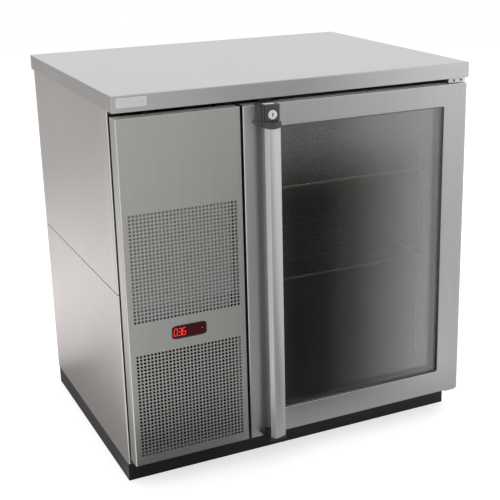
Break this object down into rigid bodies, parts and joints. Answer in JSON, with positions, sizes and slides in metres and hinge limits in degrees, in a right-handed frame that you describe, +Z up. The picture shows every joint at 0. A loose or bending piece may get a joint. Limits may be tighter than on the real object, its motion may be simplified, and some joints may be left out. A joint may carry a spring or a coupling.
{
  "type": "under counter fridge",
  "caption": "Steel under counter fridge with a hinged glass door, full-height lockable handle, wire shelves and a side machine bay behind a perforated front panel.",
  "frame": {"origin": "on the floor, under the middle of the overall box", "axes": "+Z up, -Y out of the front with the door, +X to the right as seen from the front"},
  "size_m": [0.914, 0.7534, 0.95],
  "materials": {
    "counter_steel": "brushed, satin",
    "side_steel": "brushed, satin",
    "panel_steel": "brushed upright, satin",
    "door_steel": "brushed upright, satin",
    "shelf_steel": "plated wire",
    "zinc_sheet": "zinc coated, dull",
    "handle_aluminium": "anodised, satin",
    "fin_aluminium": "mill finish",
    "chrome": "polished",
    "copper": "drawn copper",
    "plinth_black": "matt black",
    "machine_black": "satin black",
    "frame_black": "satin black",
    "lock_charcoal": "fine grain",
    "charcoal_plastic": "fine grain",
    "grey_plastic": "moulded",
    "rubber": "matt",
    "case_skin": "coated sheet over foam",
    "core_board": "sealed board",
    "glass": "clear, coated",
    "display_black": "dark red window",
    "light": "warm diffuser",
    "liner_steel": "satin"
  },
  "bodies": {
    "cabinet": {"counter_top": "counter_steel", "left_lower_panel": "side_steel", "left_upper_panel": "side_steel", "right_side_panel": "side_steel", "pilaster_left_front": "shelf_steel", "pilaster_left_rear": "shelf_steel", "pilaster_right_front": "shelf_steel", "pilaster_right_rear": "shelf_steel", "back_panel": "zinc_sheet", "base_tray": "zinc_sheet", "upper_hinge_bracket": "zinc_sheet", "lower_hinge_bracket": "zinc_sheet", "fan_shroud": "zinc_sheet", "condenser_fan_bracket": "zinc_sheet", "condenser_coil": "fin_aluminium", "evaporator_coil": "fin_aluminium", "lock_keeper": "fin_aluminium", "capillary_line": "copper", "suction_line": "copper", "discharge_line": "copper", "filter_drier": "copper", "plinth_front": "plinth_black", "plinth_back": "plinth_black", "plinth_left": "plinth_black", "plinth_right": "plinth_black", "bay_front_post": "machine_black", "mullion_rail": "machine_black", "compressor": "machine_black", "face_frame": "frame_black", "condenser_fan_motor": "charcoal_plastic", "evaporator_fan_motor": "charcoal_plastic", "control_box": "charcoal_plastic", "power_inlet": "charcoal_plastic", "compressor_terminal_cover": "charcoal_plastic", "evaporator_cover": "grey_plastic", "condensate_pan": "grey_plastic", "drain_tube": "grey_plastic", "insulated_body": "case_skin", "top_core": "core_board", "display_unit": "display_black", "cabin_light": "light", "inner_liner": "liner_steel"},
    "door": {"door_frame": "door_steel", "door_inner_trim": "charcoal_plastic", "glass_outer": "glass", "glass_spacer": "charcoal_plastic", "glass_inner": "glass", "glazing_seal": "rubber", "door_gasket": "rubber", "handle_bar": "handle_aluminium", "handle_bottom_cap": "lock_charcoal", "lock_housing": "lock_charcoal"},
    "lock_cylinder": {"lock_cylinder": "chrome"},
    "lock_bolt": {"lock_bolt": "chrome"},
    "upper_shelf": {"shelf_upper": "shelf_steel"},
    "lower_shelf": {"shelf_lower": "shelf_steel"},
    "condenser_fan": {"condenser_fan": "charcoal_plastic"},
    "evaporator_fan": {"evaporator_fan": "charcoal_plastic"},
    "grille_panel": {"grille_panel": "panel_steel"}
  },
  "joints": [
    {"name": "door_hinge", "type": "hinge", "parent": "cabinet", "child": "door", "pos_m": [0.431, -0.31135, 0.4845], "axis": [0, 0, 1], "range_deg": [0, 110]},
    {"name": "lock_turn", "type": "hinge", "parent": "door", "child": "lock_cylinder", "pos_m": [-0.0995, -0.37315, 0.881], "axis": [0, 1, 0], "range_deg": [0, 90]},
    {"name": "lock_bolt_slide", "type": "slide", "parent": "door", "child": "lock_bolt", "axis": [0, 0, 1], "range_m": [0, 0.008]},
    {"name": "shelf_upper_lift", "type": "slide", "parent": "cabinet", "child": "upper_shelf", "axis": [0, 0, 1], "range_m": [0, 0.02]},
    {"name": "shelf_lower_lift", "type": "slide", "parent": "cabinet", "child": "lower_shelf", "axis": [0, 0, 1], "range_m": [0, 0.02]},
    {"name": "condenser_fan_spin", "type": "hinge", "parent": "cabinet", "child": "condenser_fan", "pos_m": [-0.3155, -0.08705, 0.1836], "axis": [0, 1, 0], "continuous": true},
    {"name": "evaporator_fan_spin", "type": "hinge", "parent": "cabinet", "child": "evaporator_fan", "pos_m": [0.1495, 0.16785, 0.7952], "axis": [0, 1, 0], "continuous": true},
    {"name": "grille_panel_pull", "type": "slide", "parent": "cabinet", "child": "grille_panel", "axis": [0, -1, 0], "range_m": [0, 0.1]}
  ],
  "couplings": [
    {"joint": "lock_bolt_slide", "follows": "lock_turn", "m_per_rad": 0.00509}
  ]
}
